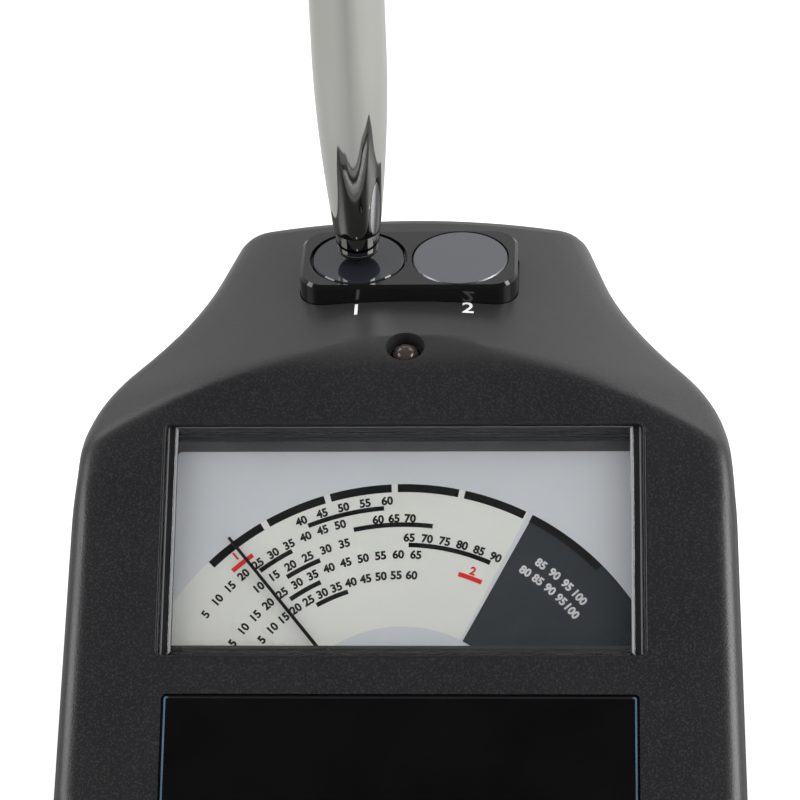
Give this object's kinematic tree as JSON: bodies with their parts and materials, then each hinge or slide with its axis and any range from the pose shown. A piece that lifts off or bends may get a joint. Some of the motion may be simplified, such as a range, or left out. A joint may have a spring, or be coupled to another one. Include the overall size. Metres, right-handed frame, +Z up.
{
  "type": "gemstone tester",
  "caption": "Counter-top gemstone tester: sloping dial meter, lamp, test discs on a tray and a slim hand-held probe.",
  "frame": {"origin": "under the middle of the housing's plan, on the table that its feet stand on", "axes": "+Z up, +X to the right of a user at the front, +Y to the rear"},
  "size_m": [0.1044, 0.1136, 0.1962],
  "materials": {
    "housing": "fine grained matte black",
    "gloss_black": "polished black",
    "soft_black": "plain black",
    "rubber": "matt",
    "glass_disc": "smooth dark grey, glassy",
    "reference_disc": "smooth grey metal",
    "lamp": "clear lamp body",
    "clear_cover": "clear moulded cover",
    "dial": "printed white plate",
    "needle": "matt black",
    "copper": "enamelled copper winding",
    "steel": "bright",
    "iron": "bare",
    "brass": "bright",
    "board": "green laminate",
    "battery": "plain wrapped cell",
    "chrome": "polished"
  },
  "bodies": {
    "housing": {"top_shell": "housing", "base_shell": "housing", "name_plate": "gloss_black", "foot_1": "rubber", "foot_2": "rubber", "foot_3": "rubber", "foot_4": "rubber", "case_screw_1": "steel", "case_screw_2": "steel", "case_screw_3": "steel", "case_screw_4": "steel", "disc_tray": "gloss_black", "glass_disc": "glass_disc", "reference_disc": "reference_disc", "ready_lamp": "lamp", "lamp_holder": "soft_black", "meter_cover": "clear_cover", "meter_case": "soft_black", "dial_plate": "dial", "meter_magnet": "iron", "meter_bridge": "brass", "terminal_1": "brass", "terminal_2": "brass", "circuit_board": "board", "main_chip": "soft_black", "capacitor_1": "battery", "capacitor_2": "battery", "buzzer": "soft_black", "probe_socket": "soft_black", "power_inlet": "soft_black", "switch_body": "soft_black", "battery_1": "battery", "battery_2": "battery", "battery_3": "battery", "contact_front": "steel", "contact_rear": "steel"},
    "battery_cover": {"battery_cover": "housing"},
    "power_switch": {"switch_knob": "soft_black"},
    "movement": {"needle": "needle", "moving_coil": "copper", "coil_staff": "steel", "hairspring": "brass"},
    "probe": {"probe_barrel": "chrome", "probe_nose": "chrome", "tip_guide": "brass", "tip_spring": "steel", "probe_tail": "soft_black"},
    "tip": {"probe_tip": "copper"}
  },
  "joints": [
    {"name": "needle_swing", "type": "hinge", "parent": "housing", "child": "movement", "pos_m": [0, -0.02873, 0.02306], "axis": [0, -0.5764, 0.8171], "range_deg": [-89, 6], "stiffness_Nm_per_rad": 0.00002},
    {"name": "probe_lift", "type": "slide", "parent": "housing", "child": "probe", "axis": [0, 0, 1], "range_m": [0, 0.06]},
    {"name": "tip_press", "type": "slide", "parent": "probe", "child": "tip", "axis": [0, 0, 1], "range_m": [0, 0.0008], "stiffness_N_per_m": 300, "springref_m": -0.001, "deforming": ["tip_spring"]},
    {"name": "battery_cover_slide", "type": "slide", "parent": "housing", "child": "battery_cover", "axis": [0, 1, 0], "range_m": [0, 0.045]},
    {"name": "power_switch_slide", "type": "slide", "parent": "housing", "child": "power_switch", "axis": [1, 0, 0], "range_m": [0, 0.003]}
  ]
}
